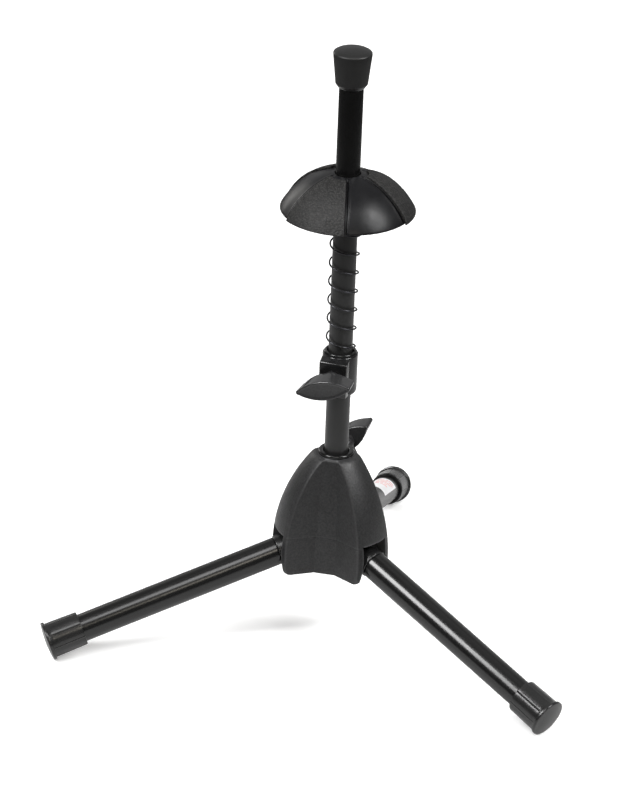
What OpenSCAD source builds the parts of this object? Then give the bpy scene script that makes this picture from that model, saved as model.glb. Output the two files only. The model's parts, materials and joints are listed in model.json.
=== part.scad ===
// Trumpet stand with three folding legs, a sliding pole and a sprung bell rest.
// Millimetres, +Z up. The origin is on the pole's axis at floor level, and the
// rear leg points along +Y.

/* [Pole] */
// Outside diameter of the steel pole
pole_d = 16; // [15.5:0.1:16.5]
// Wall of the pole
pole_wall = 1.2; // [0.8:0.1:2]
// Height of the pole's lower end
pole_low_z = 54; // [53:0.5:58]
// Height of the pole's upper end
pole_high_z = 418; // [400:1:440]

/* [Top cap] */
// Diameter at the cap's upper rim
cap_d = 25.4; // [24:0.1:28]
// Diameter at the cap's waist, above its lower chamfer
cap_waist_d = 21.2; // [20:0.1:23]
// Height of the cap without its crown
cap_h = 24.3; // [20:0.1:30]
// Rise of the crown
cap_crown = 2.2; // [1:0.1:3]

/* [Legs] */
// Outside diameter of a leg tube
leg_d = 19; // [18:0.1:20]
// Wall of a leg tube
leg_wall = 1.2; // [0.8:0.1:2]
// Slope of an open leg below the horizontal, degrees
leg_slope = 17.8; // [16:0.1:20]
// Distance from the pole's axis to the middle of a foot's rim
leg_reach = 197.4; // [180:0.5:215]
// Distance from the pole's axis to a leg's pivot
pivot_r = 25; // [24.5:0.1:25.5]
// Diameter of a leg's pivot pin
pivot_pin_d = 6; // [5:0.1:7]
// Diameter of a foot cap's rim
foot_rim_d = 26.5; // [25:0.1:30]
// Length of a foot cap
foot_l = 25; // [20:0.5:32]

/* [Hub] */
// Height of the hub's lower face
hub_low_z = 52; // [51:0.5:53]
// Height of the hub's upper face
hub_high_z = 134; // [132:0.5:136]
// Largest radius of the lobes
hub_belly_r = 40.6; // [40:0.1:42]
// Height of the lobes' largest radius
hub_belly_z = 65; // [62:0.5:68]
// Radius of the lobes' upright outline
hub_arc_r = 106.6; // [105:0.1:108]
// Half of a lobe's width at the bottom
lobe_half_w = 15.5; // [15:0.1:16.5]
// Radius of the curve that narrows a lobe upwards
lobe_side_r = 601; // [560:1:650]
// Distance from the axis to a valley's flat, at the bottom
valley_r = 22; // [21.5:0.1:22.5]
// Radius of the valleys' upright curve
valley_arc_r = 408; // [400:1:420]
// Height of the arch over each leg
arch_z = 80; // [79:0.5:82]
// Half of a leg slot's width
slot_half_w = 10.8; // [10.6:0.1:11]

/* [Clamps] */
// Height of the hub's clamp screw
hub_screw_z = 127; // [126.5:0.1:127]
// Height of the collar's clamp screw
collar_screw_z = 195.5; // [194:0.1:197]
// Diameter of a clamp screw
screw_d = 6; // [5:0.1:6]
// Half of a wing knob's length
wing_half_l = 18.5; // [16:0.1:18.5]
// Half of a wing knob's thickness
wing_half_t = 6.2; // [5:0.1:8]
// Depth of a wing knob along its screw
wing_depth = 14; // [10:0.5:18]
// Turn of the hub's knob from level, degrees
hub_wing_turn = 42; // [0:1:90]
// Turn of the collar's knob from level, degrees
collar_wing_turn = 14; // [0:1:90]

/* [Collar] */
// Outside diameter of the collar's sleeve
collar_d = 23.6; // [22.5:0.1:25]
// Height of the collar's lower end
collar_low_z = 179.5; // [178:0.5:181]
// Height of the collar's upper end
collar_high_z = 210; // [209:0.5:212]
// Distance from the axis to the face of the screw block
block_r = 15.8; // [15.6:0.1:17]
// Width of the screw block
block_w = 19; // [16:0.1:20]
// Direction of the screw block about the pole, degrees from +X
block_turn = -94.5; // [-120:0.5:-60]

/* [Spring] */
// Outside diameter of the spring
spring_d = 20.4; // [20:0.1:21]
// Diameter of the spring's wire
wire_d = 1.15; // [0.8:0.05:1.4]
// Turns of the spring
spring_turns = 8; // [5:1:10]
// Direction of the spring's lower end about the pole, degrees from +X
spring_start = 72.5; // [0:0.5:360]

/* [Bell rest] */
// Radius of the dome's outer surface
dome_r = 49.2; // [48:0.1:51]
// Height of the middle of the dome's sphere
dome_mid_z = 288.2; // [286:0.1:290]
// Height of the dome's rim
dome_rim_z = 311; // [310:0.5:313]
// Wall of the dome
dome_wall = 2; // [1.5:0.1:3]
// Diameter of the hole at the dome's crown
dome_hole_d = 17.2; // [17:0.1:18]
// How far the grip pads stand proud of the dome
pad_proud = 1.4; // [1:0.1:2]
// Distance from the axis to a grip pad's inner end
pad_inner_r = 14; // [13:0.1:18]
// Direction of the first grip pad's edge about the pole, degrees from +X
pad_turn = -137.5; // [-180:0.5:180]

/* [Hidden] */
$fn = 96;

eps = 0.01;
slip = 0.05;           // radial clearance of a running or threaded fit
seat = 0.02;           // gap between parts of one assembly that are fixed together
stop_gap = 0.3;        // gap between a leg's heel and its stop
far = 80;              // longer than any cut through the hub

pole_r = pole_d / 2;
leg_r = leg_d / 2;
foot_rim_r = foot_rim_d / 2;
leg_len = (leg_reach - pivot_r) / cos(leg_slope);
pivot_z = leg_len * sin(leg_slope) + foot_rim_r * cos(leg_slope);
leg_turns = [-30, 210, 90];

hub_bore_r = pole_r + 2.5;
hub_flange_r = 12;
hub_flange_h = 2.3;
hub_round = 3;
hub_top_round = 2;
big_fn = 720;          // facets of the hub's very large circles
slot_back_r = 13;
lobe_wall = 3;
cavity_high_z = 118;
boss_r = 6.6;
boss_face_r = 25;
pin_half_l = 13.4;
bush_low_z = 60;

tube_from = 12;        // where a leg's tube starts, from its pivot
flange_from = 6.5;
insert_flange_r = leg_r + 0.6;
knuckle_half_w = slot_half_w - 1.1;
knuckle_r = 9.3;
arm_half_h = 8.8;
heel_h = 6;
plug_l = 24;
foot_flange_t = 2.4;
foot_crown = 1.1;
foot_bore_l = foot_l - 3.2;
label_from = 106;
label_l = 38;
label_t = 0.12;
label_turn = 72;
label_arc = 175;

screw_r = screw_d / 2;
nut_af = 10;
nut_t = 5;
nut_r = nut_af / 2 / cos(30);
pad_t = 1.8;
pad_gap = 0.12;
pad_r = screw_r - 0.1;
stud_tip_r = pole_r + pad_gap + pad_t + slip;
neck_r = 5.6;
neck_gap = 0.6;
neck_l = 6.6;
wing_arc_r = (pow(wing_half_l + 1, 2) + pow(wing_half_t, 2)) / (2 * wing_half_t);
stud_in_knob = 10;

bore_r = pole_r + slip;
lip_r = 10.7;
lip_inner_r = 8.95;
lip_h = 1.5;
counterbore_h = 5;
block_low_z = collar_low_z + 2;
block_high_z = collar_high_z - 4;
collar_round = 3;

wire_r = wire_d / 2;
coil_r = spring_d / 2 - wire_r;
spring_seat_z = 318;
spring_low_z = collar_high_z + seat + wire_r;
spring_high_z = spring_seat_z - seat - wire_r;
wire_sides = 6;
steps_per_turn = 18;

bush_flange_r = 12.4;
bush_flange_t = 3.4;
bush_sleeve_r = pole_r + 2.3;
bush_high_z = 333;
groove_w = 0.8;
groove_depth = 0.8;
pad_arc = 58.8;
rib_r = 12.7;

// ---------------------------------------------------------------- placing

// Places a child drawn along +X from the pivot onto leg i, at its slope
module on_leg(i) {
    rotate([0, 0, leg_turns[i]]) translate([pivot_r, 0, pivot_z])
        rotate([0, leg_slope, 0]) children();
}

// Turns a child drawn up Z so that it points along +X
module along_x() { rotate([0, 90, 0]) children(); }

// Places a child drawn along +X onto the hub's clamp screw, behind the pole
module on_hub_screw() { translate([0, 0, hub_screw_z]) rotate([0, 0, 90]) children(); }

// Places a child drawn along +X onto the collar's clamp screw
module on_collar_screw() {
    translate([0, 0, collar_screw_z]) rotate([0, 0, block_turn]) children();
}

module ring(r_out, r_in, h) {
    difference() {
        cylinder(r = r_out, h = h);
        translate([0, 0, -eps]) cylinder(r = r_in, h = h + 2 * eps);
    }
}

// ---------------------------------------------------------------- hub

function hub_r(z, inset = 0) =
    hub_belly_r - hub_arc_r + sqrt(pow(hub_arc_r - inset, 2) - pow(z - hub_belly_z, 2));

// Upright half outline of the hub, between two heights
module hub_outline(inset, low, high) {
    intersection() {
        translate([hub_belly_r - hub_arc_r, hub_belly_z])
            circle(r = hub_arc_r - inset, $fn = big_fn);
        translate([0, low]) square([hub_belly_r + 1, high - low]);
    }
}

// The waste outside a rounded corner whose arc has its middle at [x, y]
module corner_waste(x, y, r, up) {
    difference() {
        translate([x, up > 0 ? y : y - r - 1]) square([r + 3, r + 1]);
        translate([x, y]) circle(r = r);
    }
}

module hub_revolved() {
    rotate_extrude() difference() {
        hub_outline(0, hub_low_z, hub_high_z);
        corner_waste(hub_r(hub_low_z) - hub_round, hub_low_z + hub_round, hub_round, -1);
        corner_waste(hub_r(hub_high_z) - hub_top_round - 0.8, hub_high_z - hub_top_round,
            hub_top_round, 1);
    }
}

// A radial slab along +X that narrows upwards, inset from the lobe's sides
module lobe_slab(inset) {
    rotate([90, 0, 90]) linear_extrude(far) intersection() {
        translate([lobe_half_w - inset - lobe_side_r, hub_low_z])
            circle(r = lobe_side_r, $fn = big_fn * 2);
        translate([-(lobe_half_w - inset - lobe_side_r), hub_low_z])
            circle(r = lobe_side_r, $fn = big_fn * 2);
        translate([-far / 2, hub_low_z - 1]) square([far, hub_high_z - hub_low_z + 2]);
    }
}

// The solid behind a valley's flat, towards +X
module valley_block() {
    rotate([90, 0, 0]) linear_extrude(18, center = true) intersection() {
        translate([valley_r - valley_arc_r, hub_low_z])
            circle(r = valley_arc_r, $fn = big_fn * 2);
        translate([0, hub_low_z - 1]) square([far, hub_high_z - hub_low_z + 2]);
    }
}

module leg_slot() {
    translate([slot_back_r, -slot_half_w, hub_low_z - 1])
        cube([far, 2 * slot_half_w, arch_z - hub_low_z + 1]);
    // the hollow of the lobe above the slot
    intersection() {
        rotate_extrude() hub_outline(lobe_wall, arch_z - 1, cavity_high_z);
        lobe_slab(lobe_wall + 1);
        translate([slot_back_r, -slot_half_w, hub_low_z])
            cube([far, 2 * slot_half_w, cavity_high_z - hub_low_z]);
    }
}

module hub_shell() {
    color("#2f3032") difference() {
        union() {
            intersection() {
                hub_revolved();
                union() for (turn = leg_turns) {
                    rotate([0, 0, turn]) lobe_slab(0);
                    rotate([0, 0, turn + 60]) valley_block();
                }
            }
            on_hub_screw() translate([hub_bore_r + 1, 0, 0]) along_x()
                cylinder(r = boss_r, h = boss_face_r - hub_bore_r - 1);
        }
        for (turn = leg_turns) rotate([0, 0, turn]) {
            leg_slot();
            translate([pivot_r, 0, pivot_z]) rotate([90, 0, 0])
                cylinder(r = pivot_pin_d / 2 + seat, h = 2 * pin_half_l, center = true);
        }
        translate([0, 0, hub_low_z - 1])
            cylinder(r = hub_bore_r + seat, h = hub_high_z - hub_low_z + 2);
        on_hub_screw() {
            along_x() cylinder(r = screw_r + 2 * slip, h = boss_face_r + 1);
            translate([nut_from(0), 0, 0]) nut_pocket();
        }
    }
}

// Distance from the axis to a clamp nut: 0 is the hub's, 1 is the collar's
function nut_from(which) = which == 0 ? 15 : pole_r + 2.3;

module nut_pocket() {
    translate([-seat, 0, 0]) along_x() cylinder(r = nut_r + seat, h = nut_t + 2 * seat, $fn = 6);
}

module hub_bush() {
    color("#1b1b1d") difference() {
        rotate_extrude() difference() {
            union() {
                translate([0, bush_low_z]) square([hub_bore_r, hub_high_z - bush_low_z + 1]);
                translate([0, hub_high_z + seat]) square([hub_flange_r, hub_flange_h - seat]);
            }
            translate([0, bush_low_z - 1]) square([bore_r, far + hub_high_z]);
            // rounded crown of the flange, outside and inside
            corner_waste(hub_flange_r - 1.2, hub_high_z + hub_flange_h - 1.2, 1.2, 1);
            difference() {
                translate([bore_r - 1, hub_high_z + hub_flange_h - 1.2]) square([2.2, 2]);
                translate([bore_r + 1.2, hub_high_z + hub_flange_h - 1.2]) circle(r = 1.2);
            }
        }
        on_hub_screw() along_x() cylinder(r = screw_r + 2 * slip, h = far);
    }
}

module clamp_nut() {
    along_x() difference() {
        cylinder(r = nut_r, h = nut_t, $fn = 6);
        translate([0, 0, -1]) cylinder(r = screw_r + slip, h = nut_t + 2);
    }
}

module hub_nut() { color("#b9b4a6") on_hub_screw() translate([nut_from(0), 0, 0]) clamp_nut(); }

module leg_pin(i) {
    color("#9a9a9a") rotate([0, 0, leg_turns[i]]) translate([pivot_r, 0, pivot_z])
        rotate([90, 0, 0]) cylinder(d = pivot_pin_d, h = 2 * pin_half_l - 2 * seat, center = true);
}

// ---------------------------------------------------------------- clamps

// A disc that bears on the pole, hollowed to the pole's curve
module clamp_pad() {
    difference() {
        translate([pole_r - 1, 0, 0]) along_x() cylinder(r = pad_r, h = pad_gap + pad_t + 1);
        cylinder(r = pole_r + pad_gap, h = far, center = true);
    }
}

// A threaded stud from its tip to inside the knob whose neck starts at face_r
module clamp_stud(face_r) {
    translate([stud_tip_r, 0, 0]) along_x()
        cylinder(r = screw_r, h = face_r + neck_gap + stud_in_knob - stud_tip_r);
}

// A wing knob: a round neck and a lens-shaped grip, turned about its screw
module wing_knob(face_r, turn) {
    neck_from = face_r + neck_gap;
    translate([neck_from, 0, 0]) difference() {
        union() {
            along_x() cylinder(r = neck_r, h = neck_l + 1);
            rotate([turn, 0, 0]) translate([neck_l, 0, 0]) rotate([90, 0, 90])
                linear_extrude(wing_depth) intersection() {
                    wing_circle(1);
                    wing_circle(-1);
                    square([2 * wing_half_l, 3 * wing_half_t], center = true);
                }
        }
        translate([-1, 0, 0]) along_x() cylinder(r = screw_r + seat, h = stud_in_knob + 1 + seat);
    }
}

module wing_circle(side) {
    translate([0, side * (wing_half_t - wing_arc_r)]) circle(r = wing_arc_r, $fn = 240);
}

module hub_pad() { color("#c8c2ae") on_hub_screw() clamp_pad(); }
module hub_stud() { color("#8f8f8f") on_hub_screw() clamp_stud(boss_face_r); }
module hub_knob() { color("#18181a") on_hub_screw() wing_knob(boss_face_r, -hub_wing_turn); }

module collar_pad() { color("#c8c2ae") on_collar_screw() clamp_pad(); }
module collar_stud() { color("#8f8f8f") on_collar_screw() clamp_stud(block_r); }
module collar_knob() {
    color("#18181a") on_collar_screw() wing_knob(block_r, collar_wing_turn);
}

// ---------------------------------------------------------------- legs

module leg_tube(i) {
    color("#121214") on_leg(i) translate([tube_from, 0, 0]) along_x()
        ring(leg_r, leg_r - leg_wall, leg_len - foot_l + foot_bore_l - seat - tube_from);
}

// Upright outline of an insert's inner end, about its pivot: the knuckle, the arm
// to the flange, and the heel that stops the leg against the back of its slot
module knuckle_outline() {
    heel_l = pivot_r - slot_back_r - stop_gap;
    circle(r = knuckle_r);
    rotate(-leg_slope) translate([0, -arm_half_h]) square([flange_from + 1, 2 * arm_half_h]);
    translate([-heel_l, 0]) square([heel_l, heel_h]);
}

module leg_insert(i) {
    color("#1d1d20") difference() {
        union() {
            rotate([0, 0, leg_turns[i]]) translate([pivot_r, 0, pivot_z]) rotate([90, 0, 0])
                linear_extrude(2 * knuckle_half_w, center = true) knuckle_outline();
            on_leg(i) along_x() {
                translate([0, 0, flange_from])
                    cylinder(r = insert_flange_r, h = tube_from - flange_from);
                translate([0, 0, tube_from - 1])
                    cylinder(r = leg_r - leg_wall - seat, h = plug_l + 1);
            }
        }
        on_leg(i) rotate([90, 0, 0]) cylinder(r = pivot_pin_d / 2 + slip, h = far, center = true);
    }
}

module foot_cap(i) {
    body_r = foot_rim_r - 1.3;
    mouth_r = body_r - 0.4;
    crown_r = (pow(foot_rim_r, 2) + pow(foot_crown, 2)) / (2 * foot_crown);
    color("#1a1a1c") on_leg(i) translate([leg_len - foot_l, 0, 0]) along_x()
        rotate_extrude() difference() {
            union() {
                polygon([[0, 0], [mouth_r - 0.4, 0], [mouth_r, 0.5],
                    [body_r, foot_l - foot_flange_t], [0, foot_l - foot_flange_t]]);
                translate([0, foot_l - foot_flange_t - eps])
                    square([foot_rim_r, foot_flange_t + eps]);
                intersection() {
                    translate([0, foot_l + foot_crown - crown_r]) circle(r = crown_r, $fn = 360);
                    translate([0, foot_l - eps]) square([foot_rim_r, foot_crown + 1]);
                }
            }
            translate([0, -1]) square([leg_r + seat, foot_bore_l + 1]);
        }
}

// A thin label part of the way round the rear leg
module leg_label() {
    color("#e6e6e6") on_leg(2) translate([label_from, 0, 0]) along_x()
        rotate([0, 0, label_turn]) rotate_extrude(angle = label_arc)
            translate([leg_r + seat, 0]) square([label_t, label_l]);
}

// ---------------------------------------------------------------- pole

module pole_tube() {
    color("#232326") translate([0, 0, pole_low_z])
        ring(pole_r, pole_r - pole_wall, pole_high_z - pole_low_z);
}

module pole_plug() {
    color("#151517") {
        translate([0, 0, pole_low_z - 1.5]) cylinder(r = pole_r - 0.1, h = 1.5 - seat);
        translate([0, 0, pole_low_z - seat - eps])
            cylinder(r = pole_r - pole_wall - seat, h = 12);
    }
}

module top_cap() {
    low = pole_high_z + 2.2 - cap_h;
    rim_z = low + cap_h;
    rim_round = 1.4;
    crown_r = (pow(cap_d / 2, 2) + pow(cap_crown, 2)) / (2 * cap_crown);
    color("#26262a") rotate_extrude() difference() {
        union() {
            polygon([[0, low], [cap_waist_d / 2 - 1.85, low], [cap_waist_d / 2, low + 3],
                [cap_d / 2, rim_z - rim_round], [0, rim_z - rim_round]]);
            translate([0, rim_z - rim_round - eps]) square([cap_d / 2 - rim_round, rim_round]);
            translate([cap_d / 2 - rim_round, rim_z - rim_round]) circle(r = rim_round);
            intersection() {
                translate([0, rim_z + cap_crown - crown_r]) circle(r = crown_r, $fn = 240);
                translate([0, rim_z - rim_round]) square([cap_d / 2 - rim_round, 2 * cap_crown + 2]);
            }
        }
        translate([-far, 0]) square([far, 2 * pole_high_z]);
        translate([0, low - 1]) square([pole_r + seat, pole_high_z + seat - low + 1]);
    }
}

// ---------------------------------------------------------------- collar

module collar_body() {
    shoulder_z = collar_high_z - lip_h;
    color("#1c1c1f") difference() {
        union() {
            rotate_extrude() difference() {
                union() {
                    translate([0, collar_low_z]) square([collar_d / 2, shoulder_z - collar_low_z]);
                    polygon([[0, shoulder_z - eps], [lip_r + 0.3, shoulder_z - eps],
                        [lip_r - 0.7, collar_high_z], [0, collar_high_z]]);
                }
                corner_waste(collar_d / 2 - collar_round, collar_low_z + collar_round,
                    collar_round, -1);
                corner_waste(collar_d / 2 - 0.8, shoulder_z - 0.8, 0.8, 1);
            }
            rotate([0, 0, block_turn]) rotate([90, 0, 0])
                linear_extrude(block_w, center = true)
                    polygon([[0, block_low_z], [block_r - 1, block_low_z],
                        [block_r, block_low_z + 1], [block_r, block_high_z - 0.4],
                        [block_r - 0.6, block_high_z], [collar_d / 2 - 1, shoulder_z - 0.2],
                        [0, shoulder_z - 0.2]]);
        }
        translate([0, 0, collar_low_z - 1]) cylinder(r = bore_r, h = far);
        translate([0, 0, collar_high_z - counterbore_h]) cylinder(r = lip_inner_r, h = far);
        on_collar_screw() {
            along_x() cylinder(r = screw_r + 2 * slip, h = far);
            translate([nut_from(1), 0, 0]) nut_pocket();
        }
    }
}

module collar_nut() {
    color("#b9b4a6") on_collar_screw() translate([nut_from(1), 0, 0]) clamp_nut();
}

// ---------------------------------------------------------------- spring

// Middle of the wire after s steps of the left-handed coil
function coil_point(s) =
    let (steps = spring_turns * steps_per_turn,
         turn = spring_start - 360 * s / steps_per_turn)
    [coil_r * cos(turn), coil_r * sin(turn),
     spring_low_z + (spring_high_z - spring_low_z) * s / steps];

module spring() {
    steps = spring_turns * steps_per_turn;
    points = [for (s = [0:steps], k = [0:wire_sides - 1])
        let (turn = spring_start - 360 * s / steps_per_turn,
             r = coil_r + wire_r * cos(360 * k / wire_sides))
        [r * cos(turn), r * sin(turn), coil_point(s)[2] + wire_r * sin(360 * k / wire_sides)]];
    sides = [for (s = [0:steps - 1], k = [0:wire_sides - 1])
        let (a = s * wire_sides + k, b = s * wire_sides + (k + 1) % wire_sides)
        [a, b, b + wire_sides, a + wire_sides]];
    low_end = [for (k = [wire_sides - 1:-1:0]) k];
    high_end = [for (k = [0:wire_sides - 1]) steps * wire_sides + k];
    color("#4a4a4c") polyhedron(points, concat(sides, [low_end, high_end]), convexity = 10);
}

// ---------------------------------------------------------------- bell rest

// Half outline of a spherical layer of the dome, outside inner_r from the axis
module dome_layer(r_out, r_in, inner_r) {
    intersection() {
        translate([0, dome_mid_z]) difference() {
            circle(r = r_out, $fn = 240);
            circle(r = r_in, $fn = 240);
        }
        translate([inner_r, dome_rim_z]) square([far, far]);
    }
}

module dome_shell() {
    color("#2a2b30") difference() {
        rotate_extrude() {
            dome_layer(dome_r, dome_r - dome_wall, dome_hole_d / 2);
            // the tube that holds the bush, up to the inside of the crown
            difference() {
                translate([bush_sleeve_r + seat, spring_seat_z + bush_flange_t + seat])
                    square([rib_r - bush_sleeve_r - seat, 13]);
                translate([0, dome_mid_z]) difference() {
                    circle(r = dome_r + 20, $fn = 240);
                    circle(r = dome_r - dome_wall / 2, $fn = 240);
                }
            }
        }
        for (k = [0:2]) rotate([0, 0, pad_turn + 60 * k]) dome_groove();
    }
}

// Shallow grooves along one whole meridian, between the dome's panels
module dome_groove() {
    rotate([90, 0, 0]) linear_extrude(groove_w, center = true) difference() {
        translate([-far, dome_rim_z - 1]) square([2 * far, far]);
        translate([0, dome_mid_z]) circle(r = dome_r - groove_depth, $fn = 240);
        translate([-pad_inner_r + 3, dome_rim_z]) square([2 * pad_inner_r - 6, far]);
    }
}

module dome_bush() {
    color("#161618") translate([0, 0, spring_seat_z]) difference() {
        union() {
            cylinder(r = bush_flange_r, h = bush_flange_t);
            cylinder(r = bush_sleeve_r, h = bush_high_z - spring_seat_z);
        }
        translate([0, 0, -1]) cylinder(r = pole_r + 0.08, h = far);
    }
}

module grip_pad(i) {
    color("#38373a") rotate([0, 0, pad_turn + (60 - pad_arc) / 2 + 120 * i])
        rotate_extrude(angle = pad_arc)
            dome_layer(dome_r + pad_proud, dome_r + seat, pad_inner_r);
}

// ---------------------------------------------------------------- nodes

hub_shell();
hub_bush();
hub_nut();
leg_pin(0);  // leg_pin_1
leg_pin(1);  // leg_pin_2
leg_pin(2);  // leg_pin_3
hub_pad();
hub_stud();
hub_knob();
leg_tube(0);  // leg_tube_1
leg_tube(1);  // leg_tube_2
leg_tube(2);  // leg_tube_3
leg_insert(0);  // leg_insert_1
leg_insert(1);  // leg_insert_2
leg_insert(2);  // leg_insert_3
foot_cap(0);  // foot_cap_1
foot_cap(1);  // foot_cap_2
foot_cap(2);  // foot_cap_3
leg_label();
pole_tube();
pole_plug();
top_cap();
collar_body();
collar_nut();
collar_pad();
collar_stud();
collar_knob();
spring();
dome_shell();
dome_bush();
grip_pad(0);  // grip_pad_1
grip_pad(1);  // grip_pad_2
grip_pad(2);  // grip_pad_3
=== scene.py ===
"""Trumpet stand: the detailed pieces, materials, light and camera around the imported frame."""
import json
import math

import bmesh
import bpy
from mathutils import Matrix, Vector, noise


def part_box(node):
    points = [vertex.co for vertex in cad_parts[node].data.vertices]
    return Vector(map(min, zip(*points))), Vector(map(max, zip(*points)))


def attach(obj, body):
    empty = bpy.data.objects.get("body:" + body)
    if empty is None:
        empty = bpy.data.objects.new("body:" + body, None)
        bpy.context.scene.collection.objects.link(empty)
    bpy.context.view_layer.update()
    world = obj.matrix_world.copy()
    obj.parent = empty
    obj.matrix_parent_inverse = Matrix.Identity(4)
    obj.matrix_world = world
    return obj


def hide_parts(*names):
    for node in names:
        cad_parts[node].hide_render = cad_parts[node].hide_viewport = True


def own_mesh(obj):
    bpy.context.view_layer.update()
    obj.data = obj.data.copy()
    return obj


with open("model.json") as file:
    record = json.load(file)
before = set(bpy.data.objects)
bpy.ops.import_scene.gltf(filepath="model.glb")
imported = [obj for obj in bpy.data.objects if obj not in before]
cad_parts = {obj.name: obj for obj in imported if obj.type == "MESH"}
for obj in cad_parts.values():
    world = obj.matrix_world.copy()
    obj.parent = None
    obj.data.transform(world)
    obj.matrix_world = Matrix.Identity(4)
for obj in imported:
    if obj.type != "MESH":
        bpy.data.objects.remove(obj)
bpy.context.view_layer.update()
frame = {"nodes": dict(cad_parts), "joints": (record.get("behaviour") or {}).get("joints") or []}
JOINTS = {joint["name"]: joint for joint in frame["joints"]}
MM = 0.001
RADIANS = 0.01745  # to a degree

# Driving dimensions, in millimetres and degrees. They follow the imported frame.
POLE_R = 8.0
LEG_R = 9.5
TUBE_WALL = 1.2
LEG_SLOPE = 17.8
LEG_TURNS = (-30.0, 210.0, 90.0)
# The flange ring at a leg's hub end, along the leg from its pivot. The tube starts at its end,
# a little further out than in the frame, where the seam shows outside the slot.
FLANGE_FROM, FLANGE_TO = 6.5, 14.5
SCREW_HOLE_R = 3.1
HUB_LOW, HUB_HIGH, ARCH_Z = 52.0, 134.0, 80.0
HUB_BELLY_R, HUB_BELLY_Z, HUB_ARC_R = 40.6, 65.0, 106.6
LOBE_HALF_W, LOBE_SIDE_R = 15.5, 601.0
VALLEY_R, VALLEY_ARC_R = 22.0, 408.0
SLOT_HALF_W, SLOT_BACK = 10.8, 13.0
BLOCK_TURN, REAR = -94.5, 90.0
DOME_R, DOME_MID_Z, DOME_RIM_Z, DOME_WALL = 49.2, 288.2, 311.0, 2.0
PAD_PROUD, PAD_INNER_R, PAD_TURN = 1.7, 14.0, -137.5
# Half section of the slit between two panels: its flat floor, its sides, and a low raised lip.
SLIT_DEPTH, SLIT_FLOOR, SLIT_SIDE = 1.4, 0.45, 1.2
LIP_HEIGHT, LIP_AT, LIP_WIDTH = 0.22, 1.7, 0.6
SPRING_START, SPRING_TURNS = 72.5, 8
# The view: a long lens above and to the right of the front, aimed near the middle of the stand.
CAMERA_TURN, CAMERA_RISE, CAMERA_ROLL = 12.45, 25.45, 2.27
CAMERA_DISTANCE, CAMERA_LENS, CAMERA_SENSOR = 2.567, 174.4, 36.0
AIM = Vector((0, 0, 0.2))
AIM_RIGHT, AIM_UP = -14.44, -24.58


# ---------------------------------------------------------------- mesh helpers

def new_object(name, bm, sharp=35.0):
    """A mesh object from a bmesh in millimetres, smooth apart from edges over `sharp` degrees."""
    bmesh.ops.recalc_face_normals(bm, faces=bm.faces)
    mesh = bpy.data.meshes.new(name)
    bm.to_mesh(mesh)
    bm.free()
    mesh.transform(Matrix.Scale(MM, 4))
    obj = bpy.data.objects.new(name, mesh)
    bpy.context.scene.collection.objects.link(obj)
    smooth(obj, sharp)
    return obj


def smooth(obj, sharp=35.0):
    """Smooth shading, apart from edges over `sharp` degrees."""
    obj.data.polygons.foreach_set("use_smooth", [True] * len(obj.data.polygons))
    obj.data.set_sharp_from_angle(angle=math.radians(sharp))


def arc(cx, cy, r, start, end, steps):
    """Points of an arc, from one angle to another in degrees."""
    turns = [math.radians(start + (end - start) * i / steps) for i in range(steps + 1)]
    return [(cx + r * math.cos(a), cy + r * math.sin(a)) for a in turns]


def bridge(bm, rings, wrap=True):
    """Quads between rings of vertices that have the same number of points."""
    n = len(rings[0])
    for low, high in zip(rings, rings[1:]):
        for i in range(n if wrap else n - 1):
            j = (i + 1) % n
            bm.faces.new((low[i], low[j], high[j], high[i]))


def ring_verts(bm, points, place=None):
    """Vertices at the points, moved by the placing matrix if there is one."""
    verts = [bm.verts.new(p) for p in points]
    if place is not None:
        for v in verts:
            v.co = place @ v.co
    return verts


def loft(bm, sections, place=None, caps=True):
    """A closed solid through sections that have the same number of points."""
    rings = [ring_verts(bm, s, place) for s in sections]
    bridge(bm, rings)
    if caps:
        bm.faces.new(list(reversed(rings[0])))
        bm.faces.new(rings[-1])
    return rings


def lathe(bm, profile, place=None, steps=96, closed=False, radius_at=None):
    """Turns an outline of (radius, height) about Z. An open outline starts and ends on the axis."""
    rings = []
    for k, (r, h) in enumerate(profile):
        if r < 1e-6:
            rings.append([bm.verts.new((0, 0, h))])
            continue
        points = []
        for i in range(steps):
            a = 2 * math.pi * i / steps
            rr = radius_at(k, r, h, a) if radius_at else r
            points.append(bm.verts.new((rr * math.cos(a), rr * math.sin(a), h)))
        rings.append(points)
    pairs = list(zip(rings, rings[1:]))
    if closed:
        pairs.append((rings[-1], rings[0]))
    for low, high in pairs:
        for i in range(steps):
            j = (i + 1) % steps
            if len(low) == 1:
                bm.faces.new((low[0], high[j], high[i]))
            elif len(high) == 1:
                bm.faces.new((low[i], low[j], high[0]))
            else:
                bm.faces.new((low[i], low[j], high[j], high[i]))
    if place is not None:
        for ring in rings:
            for v in ring:
                v.co = place @ v.co
    return rings


def turn_z(degrees):
    return Matrix.Rotation(math.radians(degrees), 4, "Z")


# Z turned to X, and a flat outline's Y turned to Z.
ALONG_X = Matrix.Rotation(math.radians(90), 4, "Y")
UPRIGHT = Matrix.Rotation(math.radians(90), 4, "X")


def on_leg(i):
    """Places what is drawn up Z from the pivot along leg i, at its slope."""
    pivot = Vector(JOINTS[f"leg_{i + 1}_fold"]["pos_m"]) / MM
    slope = Matrix.Rotation(math.radians(LEG_SLOPE), 4, "Y")
    return Matrix.Translation(pivot) @ turn_z(LEG_TURNS[i]) @ slope @ ALONG_X


def on_screw(joint, turn):
    """Places what is drawn up Z from the pole's axis along a clamp screw."""
    height = JOINTS[joint]["pos_m"][2] / MM
    return Matrix.Translation((0, 0, height)) @ turn_z(turn) @ ALONG_X


def boolean(obj, other, operation):
    """Joins obj with another solid or cuts it by that solid, which is then deleted."""
    modifier = obj.modifiers.new("cut", "BOOLEAN")
    modifier.operation = operation
    modifier.solver = "EXACT"
    modifier.object = other
    apply_modifiers(obj)
    bpy.data.objects.remove(other)


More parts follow.
